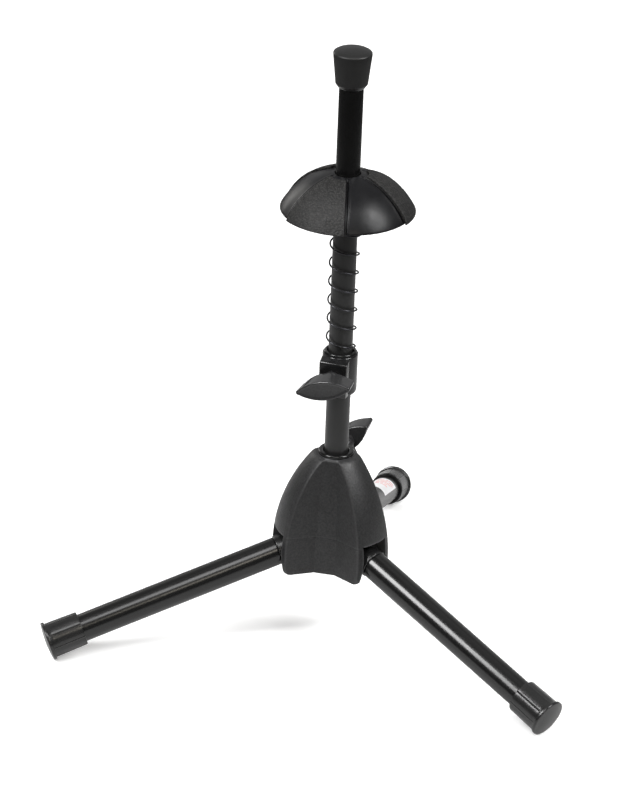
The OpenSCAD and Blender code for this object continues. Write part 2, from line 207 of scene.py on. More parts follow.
def apply_modifiers(obj):
    depsgraph = bpy.context.evaluated_depsgraph_get()
    mesh = bpy.data.meshes.new_from_object(obj.evaluated_get(depsgraph))
    obj.modifiers.clear()
    obj.data = mesh


def bevelled(obj, width, segments=3, angle=40.0):
    """Rounds the edges that are sharper than an angle in degrees."""
    modifier = obj.modifiers.new("bevel", "BEVEL")
    modifier.width = width * MM
    modifier.segments = segments
    modifier.limit_method = "ANGLE"
    modifier.angle_limit = math.radians(angle)
    apply_modifiers(obj)


def finish_piece(obj, body, material, slot, *nodes):
    """The piece's material, body and the CAD nodes that it stands for. The slot argument is not used.
    """
    obj.data.materials.clear()
    obj.data.materials.append(material)
    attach(obj, body)
    if nodes:
        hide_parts(*nodes)
    return obj


# ---------------------------------------------------------------- materials

class Shader:
    """A node material, with short calls for the nodes that it is built from."""

    def __init__(self, name, **sockets):
        self.material = bpy.data.materials.new(name)
        self.material.use_nodes = True
        self.nodes = self.material.node_tree.nodes
        self.links = self.material.node_tree.links
        self.bsdf = self.nodes["Principled BSDF"]
        for socket, value in sockets.items():
            self.bsdf.inputs[socket.replace("_", " ")].default_value = value

    def add(self, kind, **values):
        node = self.nodes.new(kind)
        for key, value in values.items():
            if key in node.inputs:
                node.inputs[key].default_value = value
            else:
                setattr(node, key, value)
        return node

    def link(self, a, b):
        self.links.new(a, b)

    def position(self):
        return self.add("ShaderNodeTexCoord").outputs["Object"]

    def noise(self, scale, detail=3.0, roughness=0.6):
        node = self.add("ShaderNodeTexNoise", Scale=scale, Detail=detail, Roughness=roughness)
        self.link(self.position(), node.inputs["Vector"])
        return node.outputs["Fac"]

    def cells(self, scale, feature="F1"):
        node = self.add("ShaderNodeTexVoronoi", Scale=scale, feature=feature)
        self.link(self.position(), node.inputs["Vector"])
        return node.outputs["Distance"]

    def span(self, value, low, high, from_low=0.3, from_high=0.7):
        """Maps a value's range to another. Noise mostly lies between 0.3 and 0.7."""
        node = self.add("ShaderNodeMapRange")
        for socket, number in (("From Min", from_low), ("From Max", from_high),
                               ("To Min", low), ("To Max", high)):
            node.inputs[socket].default_value = number
        self.link(value, node.inputs["Value"])
        return node.outputs["Result"]

    def tones(self, value, stops):
        """A colour ramp with (place, colour) stops."""
        node = self.add("ShaderNodeValToRGB")
        ramp = node.color_ramp
        while len(ramp.elements) < len(stops):
            ramp.elements.new(0.5)
        for element, (place, colour) in zip(ramp.elements, stops):
            element.position = place
            element.color = (*colour, 1)
        self.link(value, node.inputs["Fac"])
        return node.outputs["Color"]

    def bump(self, height, strength, distance, under=None):
        node = self.add("ShaderNodeBump", Strength=strength, Distance=distance * MM)
        self.link(height, node.inputs["Height"])
        if under is not None:
            self.link(under, node.inputs["Normal"])
        return node.outputs["Normal"]

    def colour(self, output):
        self.link(output, self.bsdf.inputs["Base Color"])

    def painted_edge_highlight(self, base, highlight_tone_or_roughness, amount):
        """Painted highlight: mixes a colour towards a paler one on the convex edges, where light would
        catch them.
        """
        geometry = self.add("ShaderNodeNewGeometry")
        mix = self.add("ShaderNodeMix", data_type="RGBA")
        self.link(self.span(geometry.outputs["Pointiness"], 0, amount, 0.51, 0.60), mix.inputs[0])
        self.link(base, mix.inputs[6])
        mix.inputs[7].default_value = (*highlight_tone_or_roughness, 1)
        self.colour(mix.outputs[2])

    def rough(self, output):
        self.link(output, self.bsdf.inputs["Roughness"])

    def normal(self, output):
        self.link(output, self.bsdf.inputs["Normal"])


def grey(value, blue=0.0):
    return (value, value, value * (1 + blue))


def moulded_plastic(name, tone, blue, rough, texture, grain=900.0, gloss=0.5, edge=None):
    """Black moulded plastic: a fine spark-eroded texture and faint mottling. With an edge tone, its
    convex edges are painted paler, a painted highlight."""
    s = Shader(name, IOR=1.5, Specular_IOR_Level=gloss)
    speck = s.noise(grain, 3.0)
    spread = 0.15 + 0.4 * texture
    base = s.tones(speck, [(0.3, grey(tone * (1 - spread), blue)),
                           (0.7, grey(tone * (1 + spread), blue))])
    # painted highlight: the convex edges are painted paler, as if lit
    if edge:
        s.painted_edge_highlight(base, grey(edge, blue), 0.8)
    else:
        s.colour(base)
    s.rough(s.span(s.noise(140.0, 5.0), rough - 0.04, rough + 0.06))
    fine = s.bump(speck, texture, 0.2)
    s.normal(s.bump(s.noise(38.0, 2.0), 0.05, 0.4, fine))
    return s.material


def powder_coat(name, tones, roughs, peel):
    """Black stove enamel on steel tube, with a faint orange peel. Tones and roughs are each a
    pair, for below the bell rest and for above it, where the tube is darker and glossier."""
    s = Shader(name, IOR=1.5)
    split = s.add("ShaderNodeSeparateXYZ")
    s.link(s.position(), split.inputs["Vector"])
    above = s.span(split.outputs["Z"], 0, 1, 0.300, 0.345)
    s.colour(s.tones(above, [(0.0, grey(tones[0])), (1.0, grey(tones[1]))]))
    blotch = s.span(s.noise(90.0, 3.0), -0.01, 0.02)
    highlight_tone_or_roughness = s.add("ShaderNodeMath", operation="ADD")
    s.link(s.span(above, roughs[0], roughs[1], 0, 1), highlight_tone_or_roughness.inputs[0])
    s.link(blotch, highlight_tone_or_roughness.inputs[1])
    s.rough(highlight_tone_or_roughness.outputs["Value"])
    s.normal(s.bump(s.noise(420.0, 2.0), peel, 0.03))
    return s.material


def rubber(name, tone, rough, grain, gloss=0.5):
    """Moulded black rubber, a little dusty."""
    s = Shader(name, IOR=1.5, Specular_IOR_Level=gloss)
    dust = s.noise(85.0, 6.0)
    s.colour(s.tones(dust, [(0.35, grey(tone * 0.9)), (0.75, grey(tone * 1.25))]))
    s.rough(s.span(s.noise(70.0, 3.0), rough - 0.02, rough + 0.03))
    s.normal(s.bump(s.noise(1300.0, 3.0), grain, 0.08))
    return s.material


def grained_rubber(name, tone):
    """The grip pads' leather-like grain: small rounded cells over a soft undulation."""
    s = Shader(name, IOR=1.48, Specular_IOR_Level=0.4)
    cells = s.cells(750.0)
    s.colour(s.tones(cells, [(0.1, (tone * 1.9, tone * 1.82, tone * 1.75)),
                             (0.6, (tone * 0.35, tone * 0.34, tone * 0.33))]))
    s.rough(s.span(s.noise(300.0), 0.52, 0.66))
    fine = s.bump(cells, 1.0, 0.3)
    s.normal(s.bump(s.noise(420.0, 3.0), 0.5, 0.25, fine))
    return s.material


def metal(name, colour, rough):
    """Plain metal with fine scratches."""
    s = Shader(name, Metallic=1.0)
    s.colour(s.tones(s.noise(60.0), [(0.3, tuple(c * 0.85 for c in colour)),
                                     (0.7, tuple(min(1, c * 1.1) for c in colour))]))
    s.rough(s.span(s.noise(500.0, 4.0), rough - 0.06, rough + 0.08))
    s.normal(s.bump(s.noise(900.0, 2.0), 0.1, 0.02))
    return s.material


def plain_film(name, colour, rough):
    """A flat, even material: the label's film and ink, and nylon."""
    s = Shader(name)
    s.colour(s.tones(s.noise(90.0), [(0.3, tuple(c * 0.96 for c in colour)), (0.7, colour)]))
    s.rough(s.span(s.noise(200.0), rough - 0.03, rough + 0.03))
    return s.material


# the hub's edge tone of 0.15 paints a highlight along its convex ridges
HUB_PLASTIC = moulded_plastic("hub_plastic", 0.016, 0.03, 0.44, 0.9, 800.0, 0.4, 0.15)
COLLAR_PLASTIC = moulded_plastic("collar_plastic", 0.008, 0.03, 0.17, 0.12)
KNOB_PLASTIC = moulded_plastic("knob_plastic", 0.022, 0.03, 0.17, 0.08)
BUSH_PLASTIC = moulded_plastic("bush_plastic", 0.004, 0.0, 0.18, 0.05)
INSERT_PLASTIC = moulded_plastic("insert_plastic", 0.008, 0.03, 0.24, 0.12)
DOME_PLASTIC = moulded_plastic("dome_plastic", 0.006, 0.12, 0.34, 0.12, 900.0, 0.20)
LEG_PAINT = powder_coat("leg_paint", (0.006, 0.006), (0.21, 0.21), 0.0)
POLE_PAINT = powder_coat("pole_paint", (0.014, 0.002), (0.38, 0.22), 0.20)
FOOT_RUBBER = rubber("foot_rubber", 0.012, 0.24, 0.02)
CAP_RUBBER = rubber("cap_rubber", 0.007, 0.44, 0.30, 0.4)
GRIP_RUBBER = grained_rubber("grip_rubber", 0.0125)
SPRING_STEEL = metal("spring_steel", (0.05, 0.05, 0.055), 0.32)
PIN_STEEL = metal("pin_steel", (0.42, 0.42, 0.43), 0.35)
BRASS = metal("brass", (0.66, 0.52, 0.26), 0.3)
NYLON = plain_film("nylon", (0.62, 0.59, 0.50), 0.5)
LABEL_FILM = plain_film("label_film", (0.82, 0.82, 0.83), 0.35)
LABEL_INK = plain_film("label_ink", (0.78, 0.33, 0.31), 0.4)


# ---------------------------------------------------------------- hub

def hub_r(z):
    """Radius of the hub's lobes at height z: one tall arc, widest at the belly."""
    return HUB_BELLY_R - HUB_ARC_R + math.sqrt(HUB_ARC_R ** 2 - (z - HUB_BELLY_Z) ** 2)


def drop(z, r):
    """How far a tall curve of radius r has come in at height z."""
    return r - math.sqrt(r * r - (z - HUB_LOW) ** 2)


def hub_half_lobe(z, shrink_r, shrink_w):
    """Section of half a lobe at height z, from its middle to the middle of the valley."""
    w = LOBE_HALF_W - drop(z, LOBE_SIDE_R) - shrink_w
    a = VALLEY_R - drop(z, VALLEY_ARC_R) - shrink_w
    r = hub_r(z) - shrink_r
    n = Vector((math.cos(math.radians(60)), math.sin(math.radians(60))))
    room = math.sqrt(r * r - w * w) - (2 * a - math.sqrt(3) * w)
    ridge = min(1.4, 0.3 * room)
    nook = min(1.2, 0.3 * room)
    # rounded ridge between the lobe's face and its side
    mid = Vector((math.sqrt((r - ridge) ** 2 - (w - ridge) ** 2), w - ridge))
    face_end = math.degrees(math.atan2(mid.y, mid.x))
    points = arc(0, 0, r, 0, face_end, 14)[:-1]
    points += arc(mid.x, mid.y, ridge, face_end, 90, 5)
    # hollow corner between the side and the valley's flat
    ny = w + nook
    nx = (a + nook - ny * n.y) / n.x
    for k in range(1, 8):
        points.append((mid.x + (nx - mid.x) * k / 8, w))
    points += arc(nx, ny, nook, 270, 240, 4)
    flat_start = Vector(points[-1])
    flat_end = n * a
    for k in range(1, 5):
        p = flat_start.lerp(flat_end, k / 4)
        points.append((p.x, p.y))
    return points


def hub_section(z, shrink_r=0.0, shrink_w=0.0):
    """The hub's whole outline at height z: three lobes, each two mirrored halves."""
    half = hub_half_lobe(z, shrink_r, shrink_w)
    lobe = [(x, -y) for x, y in reversed(half[1:-1])] + half
    section = []
    for turn in sorted(LEG_TURNS):
        c, s = math.cos(math.radians(turn)), math.sin(math.radians(turn))
        section += [(x * c - y * s, x * s + y * c, z) for x, y in lobe]
    return section


def hub_body():
    """The hub's outside, from its rounded foot to its rounded top."""
    low_round, high_round, seam, seam_half = 3.0, 2.2, 79.0, 0.5
    sections = []
    for k in range(7):
        a = math.radians(90 * k / 6)
        sections.append(hub_section(HUB_LOW + low_round * (1 - math.cos(a)),
                                    low_round * (1 - math.sin(a)), 0.5 * (1 - math.sin(a))))
    start, end = HUB_LOW + low_round, seam - seam_half
    sections += [hub_section(start + (end - start) * k / 14) for k in range(1, 15)]
    # the faint seam round the skirt, where two halves of the mould met
    for dz, inset in ((-0.2, 0.10), (0.0, 0.16), (0.2, 0.10)):
        sections.append(hub_section(seam + dz, 0.0, inset))
    start, top = seam + seam_half, HUB_HIGH - high_round
    sections += [hub_section(start + (top - start) * k / 40) for k in range(0, 41)]
    for k in range(1, 6):
        a = math.radians(90 * k / 5)
        z = top + high_round * math.sin(a)
        inset = high_round * (1 - math.cos(a))
        sections.append(hub_section(z, inset, 0.5 * inset))
    bm = bmesh.new()
    loft(bm, sections)
    return new_object("hub_casing", bm)


def slot_cutter(turn):
    """The leg's slot, flared at its foot, and the hollow of the lobe above it."""
    corner, outer, skin, hollow_top = 1.0, 60.0, 3.0, 118.0

    def outline(z, flare):
        half_w = SLOT_HALF_W + flare
        points = [(outer, -half_w), (outer, half_w)]
        back = arc(SLOT_BACK + corner, half_w - corner, corner, 90, 180, 4)
        points += back + [(x, -y) for x, y in reversed(back)]
        return [(x, y, z) for x, y in points]

    bm = bmesh.new()
    loft(bm, [outline(HUB_LOW - 2, 3.2), outline(HUB_LOW + 3, 1.7), outline(HUB_LOW + 8, 0.7),
              outline(HUB_LOW + 16, 0.0), outline(ARCH_Z, 0.0)], turn_z(turn))
    slot = new_object("slot", bm)

    def hollow(z):
        half_w = min(SLOT_HALF_W, LOBE_HALF_W - drop(z, LOBE_SIDE_R) - skin - 1)
        r = hub_r(z) - skin
        reach = math.degrees(math.asin(half_w / r))
        points = arc(0, 0, r, -reach, reach, 12)
        return [(x, y, z) for x, y in points] + [(SLOT_BACK, half_w, z), (SLOT_BACK, -half_w, z)]

    start = ARCH_Z - 1
    bm = bmesh.new()
    loft(bm, [hollow(start + (hollow_top - start) * k / 14) for k in range(15)], turn_z(turn))
    return slot, new_object("hollow", bm)


def cylinder_solid(radius, low, high, place=None, steps=64):
    """A plain cylinder between two heights, for joining and cutting."""
    bm = bmesh.new()
    lathe(bm, [(0, low), (radius, low), (radius, high), (0, high)], place, steps)
    return new_object("solid", bm)


def make_hub():
    """The casing: its lobes, the rear boss, the leg slots, and the bores for pole and screw."""
    boss_r, boss_end, bush_seat_r = 6.6, 25.0, 10.52
    screw = on_screw("hub_screw_spin", REAR)
    hub = hub_body()
    boss = cylinder_solid(boss_r, 12.0, boss_end, screw)
    bevelled(boss, 0.6)
    boolean(hub, boss, "UNION")
    for turn in LEG_TURNS:
        for cutter in slot_cutter(turn):
            boolean(hub, cutter, "DIFFERENCE")
    boolean(hub, cylinder_solid(bush_seat_r, HUB_LOW - 2, HUB_HIGH + 2, steps=96), "DIFFERENCE")
    boolean(hub, cylinder_solid(SCREW_HOLE_R, 5.0, boss_end + 5, screw), "DIFFERENCE")
    smooth(hub, 32.0)
    finish_piece(hub, "hub", HUB_PLASTIC, "hub_plastic", "hub_shell")


def make_bush():
    """The guide sleeve, whose rounded ring shows where the pole enters the hub."""
    low, top, sleeve_r, ring_r, seat = 60.0, HUB_HIGH + 2.3, 10.5, 12.0, HUB_HIGH + 0.02
    profile = [(POLE_R + 0.08, low + 0.5), (POLE_R + 0.5, low), (sleeve_r - 0.2, low),
               (sleeve_r, low + 0.2), (sleeve_r, seat), (ring_r, seat)]
    profile += arc(ring_r - 1.2, top - 1.2, 1.2, 0, 90, 8)
    profile += arc(POLE_R + 0.35 + 1.4, top - 1.4, 1.4, 90, 180, 8)
    profile += [(POLE_R + 0.12, top - 2.6)]
    bm = bmesh.new()
    lathe(bm, profile, closed=True)
    bush = new_object("pole_guide_ring", bm)
    # the clamp pad passes through its wall
    pad_hole = cylinder_solid(SCREW_HOLE_R, 5.0, 15.0, on_screw("hub_screw_spin", REAR))
    boolean(bush, pad_hole, "DIFFERENCE")
    smooth(bush)
    finish_piece(bush, "hub", BUSH_PLASTIC, "bush_plastic", "hub_bush")


make_hub()
make_bush()


# ---------------------------------------------------------------- legs

def make_leg(i):
    """One leg: its tube with rounded ends, its foot and its pivot end."""
    body, place = f"leg_{i + 1}", on_leg(i)
    foot_end = foot_distance(i)
    bm = bmesh.new()
    inner, edge = LEG_R - TUBE_WALL, 0.45
    start, end = FLANGE_TO + 0.1, foot_end - FOOT_FLOOR - 0.1
    profile = [(inner, start + edge), (inner + edge, start), (LEG_R - edge, start),
               (LEG_R, start + edge), (LEG_R, end), (inner, end)]
    lathe(bm, profile, place, steps=128, closed=True)
    finish_piece(new_object(f"leg_{i + 1}_tube", bm), body, LEG_PAINT, "leg_paint",
                 f"leg_tube_{i + 1}")
    make_foot(i, place, foot_end)
    make_insert(i, place)


FOOT_RIM_R, FOOT_FLOOR = 13.25, 3.2


def foot_distance(i):
    """Distance from a leg's pivot to the outer edge of its foot's rim, along the leg."""
    pivot_z = JOINTS[f"leg_{i + 1}_fold"]["pos_m"][2] / MM
    slope = math.radians(LEG_SLOPE)
    return (pivot_z - FOOT_RIM_R * math.cos(slope)) / math.sin(slope)


def make_foot(i, place, end):
    """A moulded rubber cap: lipped mouth, fine ribs, thin rounded rim and crowned end."""
    length, rim_r, rim_t, body_r, mouth_r, crown = 25.0, FOOT_RIM_R, 2.3, 11.95, 11.55, 1.1
    rib_count, rib_height, rib_half_w, bore_r = 8, 0.22, 0.28, LEG_R + 0.03
    start = end - length
    rim = end - rim_t
    profile = [(0, end - FOOT_FLOOR), (bore_r, end - FOOT_FLOOR), (bore_r, start + 0.3),
               (LEG_R + 0.3, start)]
    profile += arc(mouth_r - 0.5, start + 0.5, 0.5, 270, 360, 4)
    steps = 8
    profile += [(mouth_r + (body_r - mouth_r) * k / steps,
                 start + 0.5 + (rim - 1.0 - start) * k / steps) for k in range(1, steps + 1)]
    profile += [(body_r + 0.15, rim - 0.25), (rim_r - 0.5, rim - 0.05)]
    profile += arc(rim_r - 0.5, rim + 0.5, 0.5, 290, 360, 3)
    profile += arc(rim_r - 0.7, end - 0.1 - 0.7, 0.7, 0, 75, 5)
    profile += [(rim_r * f, end + crown * (1 - (f / 0.96) ** 2) - 0.12) for f in
                (0.88, 0.78, 0.66, 0.52, 0.36, 0.18)]
    profile += [(0, end + crown - 0.12)]
    first, last = 5, 5 + steps + 3
    pitch = 2 * math.pi / rib_count

    def ribbed(k, r, _h, a):
        """Raises fine ribs along the body, which is rows first to last of the profile."""
        if not first <= k <= last or r > body_r + 0.01:
            return r
        away = abs((a + pitch / 2) % pitch - pitch / 2) * r
        return r + rib_height * math.exp(-(away / rib_half_w) ** 2)

    bm = bmesh.new()
    lathe(bm, profile, place, steps=256, radius_at=ribbed)
    finish_piece(new_object(f"foot_{i + 1}", bm, 50.0), f"leg_{i + 1}", FOOT_RUBBER,
                 "foot_rubber", f"foot_cap_{i + 1}")


def make_insert(i, place):
    """The plastic end that plugs into the tube and turns on the pivot pin."""
    flange_r, knuckle_r, half_w, heel_l, heel_h = LEG_R + 0.6, 9.3, 9.7, 11.7, 6.0
    plug_r, plug_end, pin_hole_r = LEG_R - TUBE_WALL - 0.02, FLANGE_TO + 24, 3.05
    bm = bmesh.new()
    flange = [(0, 1.0), (flange_r - 1.1, 1.0), (flange_r - 1.1, FLANGE_FROM)]
    flange += arc(flange_r - 0.7, FLANGE_FROM + 0.7, 0.7, 270, 360, 5)
    flange += arc(flange_r - 0.7, FLANGE_TO - 0.7, 0.7, 0, 90, 5)
    flange += [(plug_r, FLANGE_TO), (plug_r, plug_end - 1), (plug_r - 0.98, plug_end),
               (0, plug_end)]
    lathe(bm, flange, place)
    plug = new_object(f"leg_{i + 1}_pivot_end", bm)
    # the knuckle and its heel, drawn in the leg's upright plane
    pivot = Vector(JOINTS[f"leg_{i + 1}_fold"]["pos_m"]) / MM
    upright = Matrix.Translation(pivot) @ turn_z(LEG_TURNS[i]) @ UPRIGHT
    bm = bmesh.new()
    outline = knuckle_profile(knuckle_r, heel_l, heel_h)
    loft(bm, [[(x, y, side) for x, y in outline] for side in (-half_w, half_w)], upright)
    knuckle = new_object("knuckle", bm)
    bevelled(knuckle, 0.6)
    boolean(plug, knuckle, "UNION")
    pin = cylinder_solid(pin_hole_r, -20, 20, upright)
    boolean(plug, pin, "DIFFERENCE")
    smooth(plug, 32.0)
    finish_piece(plug, f"leg_{i + 1}", INSERT_PLASTIC, "insert_plastic", f"leg_insert_{i + 1}")


def knuckle_profile(r, heel_l, heel_h):
    """Outline about the pivot: a round underside, the arm's top, and the heel behind."""
    outline = arc(0, 0, r, 180 + 14, 360 + 40, 40)
    outline += arc(-heel_l + 1.2, heel_h - 1.2, 1.2, 90, 180, 5)
    outline += [(-heel_l, 0.0)]
    return outline


for number in range(3):
    make_leg(number)


# ---------------------------------------------------------------- pole and top cap

def make_pole():
    """The pole's tube, its ends a little rounded."""
    low, high = (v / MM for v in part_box("pole_tube"))
    inner, edge = POLE_R - TUBE_WALL, 0.25
    profile = [(inner, low.z + edge), (inner + edge, low.z), (POLE_R - edge, low.z),
               (POLE_R, low.z + edge), (POLE_R, high.z - edge), (inner, high.z)]
    bm = bmesh.new()
    lathe(bm, profile, steps=128, closed=True)
    finish_piece(new_object("pole", bm), "pole", POLE_PAINT, "pole_paint", "pole_tube")


def make_top_cap():
    """The soft cap: tapered skirt with a chamfered mouth, rounded rim and low crown."""
    low, high = (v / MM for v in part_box("top_cap"))
    rim_r, waist_r, mouth_r, crown = 12.7, 10.6, 8.75, 2.2
    rim_z = high.z - crown
    wall_top = rim_z - 2.2
    profile = [(0, wall_top), (POLE_R + 0.05, wall_top), (POLE_R + 0.05, low.z + 0.2)]
    profile += arc(mouth_r - 0.35, low.z + 0.35, 0.35, 270, 330, 3)
    profile += arc(waist_r - 0.9, low.z + 3.1, 0.9, 310, 360, 4)
    profile += [(waist_r + (rim_r - waist_r) * f, low.z + 3.4 + (rim_z - 1.6 - low.z - 3.4) * f)
                for f in (0.25, 0.5, 0.75, 1.0)]
    profile += arc(rim_r - 1.3, rim_z - 1.3, 1.3, 5, 75, 7)
    profile += [(rim_r * f, rim_z + crown * (1 - f * f) * 0.98) for f in
                (0.84, 0.74, 0.62, 0.5, 0.38, 0.25, 0.12)]
    profile += [(0, rim_z + crown * 0.98)]
    bm = bmesh.new()
    lathe(bm, profile, steps=128)
    finish_piece(new_object("pole_cap", bm, 45.0), "pole", CAP_RUBBER, "cap_rubber", "top_cap")


make_pole()
make_top_cap()


# ---------------------------------------------------------------- collar and clamps

def make_collar():
    """The height collar: a rounded ring with the spring's seat, and the clamp screw's block."""
    low, high = (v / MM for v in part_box("collar_body"))
    r, shoulder, seat_r, block_start = 11.8, high.z - 1.5, 8.95, 8.6
    profile = [(POLE_R + 0.12, low.z + 1.0), (POLE_R + 0.9, low.z + 0.1)]
    profile += arc(r - 3, low.z + 3, 3.0, 272, 360, 10)
    profile += arc(r - 0.8, shoulder - 0.8, 0.8, 0, 80, 5)
    profile += [(11.0, shoulder)] + arc(10.7 - 0.7, high.z - 0.7, 0.7, 0, 90, 5)
    profile += arc(seat_r + 0.4, high.z - 0.4, 0.4, 90, 180, 4)
    profile += [(seat_r, high.z - 5), (POLE_R + 0.12, high.z - 5)]
    bm = bmesh.new()
    lathe(bm, profile, closed=True)
    collar = new_object("height_collar", bm)
    # the block that holds the clamp screw
    half_w, face = 9.5, 15.8
    z0, z1 = low.z + 2, high.z - 4
    outline = [(block_start, z0), (face, z0), (face, z1), (11.0, shoulder - 0.3),
               (block_start, shoulder - 0.3)]
    bm = bmesh.new()
    upright = turn_z(BLOCK_TURN) @ UPRIGHT
    loft(bm, [[(x, y, side) for x, y in outline] for side in (-half_w, half_w)], upright)
    block = new_object("block", bm)
    bevelled(block, 0.9, 4)
    boolean(block, cylinder_solid(9.4, low.z - 5, high.z + 5, steps=96), "DIFFERENCE")
    boolean(collar, block, "UNION")
    screw_hole = cylinder_solid(SCREW_HOLE_R, 5.0, 20.0, on_screw("collar_screw_spin", BLOCK_TURN))
    boolean(collar, screw_hole, "DIFFERENCE")
    smooth(collar, 32.0)
    finish_piece(collar, "collar", COLLAR_PLASTIC, "collar_plastic", "collar_body")


def lens(half_l, half_t, tip, steps=20):
    """A lens outline with blunt round tips of radius tip, as (along, across) points."""
    chord, rise = half_l - tip, half_t - tip
    r = (chord ** 2 + rise ** 2) / (2 * rise)
    lean = math.degrees(math.asin(chord / r))
    top = arc(0, half_t - r, r, 90 + lean, 90 - lean, steps)
    cap = arc(half_l - tip, 0, tip, 90 - lean, lean - 90, 8)
    bottom = [(x, -y) for x, y in reversed(top)]
    return top + cap[1:-1] + bottom + [(-x, y) for x, y in reversed(cap[1:-1])]


def make_knob(name, screw_joint, turn, tilt, face_r, body, *nodes):
    """A wing knob: a lens-shaped grip that narrows towards its round neck."""
    neck_from, neck_l, neck_r, depth, hole_r = face_r + 0.6, 6.6, 5.6, 14.0, 3.02
    wing_l, wing_t, tip = 17.9, 7.5, 1.9
    place = on_screw(screw_joint, turn) @ Matrix.Rotation(math.radians(tilt), 4, "Z")
    inner, outer = neck_from + neck_l, neck_from + neck_l + depth
    edge = 1.0
    sections = []
    for k in range(5):
        a = math.radians(90 * k / 4)
        sections.append((inner + edge * (1 - math.cos(a)), edge * (1 - math.sin(a)), 0.0))
    sections += [(inner + edge + (depth - 2 * edge) * f, 0.0, f) for f in (0.2, 0.4, 0.6, 0.8, 1.0)]
    for k in range(1, 9):
        a = math.radians(130 * k / 8)
        sections.append((outer - edge + edge * math.sin(a), edge * (1 - math.cos(a)), 1.0))
    sections += [(outer - 0.35, 2.0, 1.0), (outer - 0.4, 2.6, 1.0)]
    rings = []
    for height, inset, f in sections:
        # towards its outer face the grip gets longer and thinner
        half_l = wing_l + 1.0 * f - inset
        half_t = wing_t - 0.7 * f - inset
        outline = lens(half_l, half_t, max(0.3, tip - 0.7 * inset))
        rings.append([(y, x, height) for x, y in outline])
    bm = bmesh.new()
    loft(bm, rings, place)
    knob = new_object(name, bm, 50.0)
    bm = bmesh.new()
    neck = [(0, neck_from), (neck_r - 0.4, neck_from)]
    neck += arc(neck_r - 0.4, neck_from + 0.4, 0.4, 270, 360, 4)
    neck += [(neck_r, inner + 2), (0, inner + 2)]
    lathe(bm, neck, place, 64)
    boolean(knob, new_object("neck", bm), "UNION")
    boolean(knob, cylinder_solid(hole_r, neck_from - 2, neck_from + 10, place), "DIFFERENCE")
    smooth(knob, 40.0)
    finish_piece(knob, body, KNOB_PLASTIC, "knob_plastic", *nodes)


make_collar()
make_knob("collar_wing", "collar_screw_spin", BLOCK_TURN, 14.0, 15.8, "collar_clamp_screw",
          "collar_knob")
make_knob("hub_wing", "hub_screw_spin", REAR, -42.0, 25.0, "hub_clamp_screw", "hub_knob")


# ---------------------------------------------------------------- spring

def make_spring():
    """The left-handed coil round the pole, which closes as the bell rest is pushed down."""
    low, high = (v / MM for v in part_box("spring"))
    wire_r, coil_r, per_turn, sides = 0.575, 9.625, 48, 12
    start, end = low.z + wire_r, high.z - wire_r
    steps = SPRING_TURNS * per_turn
    bm = bmesh.new()
    rings = []
    slope = math.atan2((end - start) / SPRING_TURNS, 2 * math.pi * coil_r)
    for s in range(steps + 1):
        a = math.radians(SPRING_START - 360 * s / per_turn)
        mid = Vector((coil_r * math.cos(a), coil_r * math.sin(a), start + (end - start) * s / steps))
        out = Vector((math.cos(a), math.sin(a), 0))
        along = Vector((math.sin(a), -math.cos(a), 0)) * math.cos(slope)
        along.z = math.sin(slope)
        up = along.cross(out)
        ring = [mid + (out * math.cos(t) + up * math.sin(t)) * wire_r
                for t in (2 * math.pi * k / sides for k in range(sides))]
        for p in ring:
            p.z = min(max(p.z, low.z), high.z)
        rings.append(ring)
    loft(bm, rings)
    spring = new_object("rest_spring", bm)
    finish_piece(spring, "collar", SPRING_STEEL, "spring_steel", "spring")
    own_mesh(spring)


make_spring()


# ---------------------------------------------------------------- bell rest

def panel_angles(r, offsets, inner_count):
    """Angles across one 60 degree panel at radius r: set distances near its edges, even between."""
    near = [math.degrees(math.asin(min(0.45, o / r))) for o in offsets]
    gap = (60 - 2 * near[-1]) / (inner_count + 1)
    middle = [near[-1] + gap * (k + 1) for k in range(inner_count)]
    return near + middle + [60 - n for n in reversed(near)][:-1]


def groove_drop(away):
    """Depth of the slit between panels, and its rounded lips, at a distance from its middle."""
    if away < SLIT_FLOOR:
        return -SLIT_DEPTH
    if away < SLIT_SIDE:
        up = (away - SLIT_FLOOR) / (SLIT_SIDE - SLIT_FLOOR)
        return -SLIT_DEPTH * (1 - math.sin(math.pi / 2 * up)) ** 1.5
    return LIP_HEIGHT * math.exp(-((away - LIP_AT) / LIP_WIDTH) ** 2)


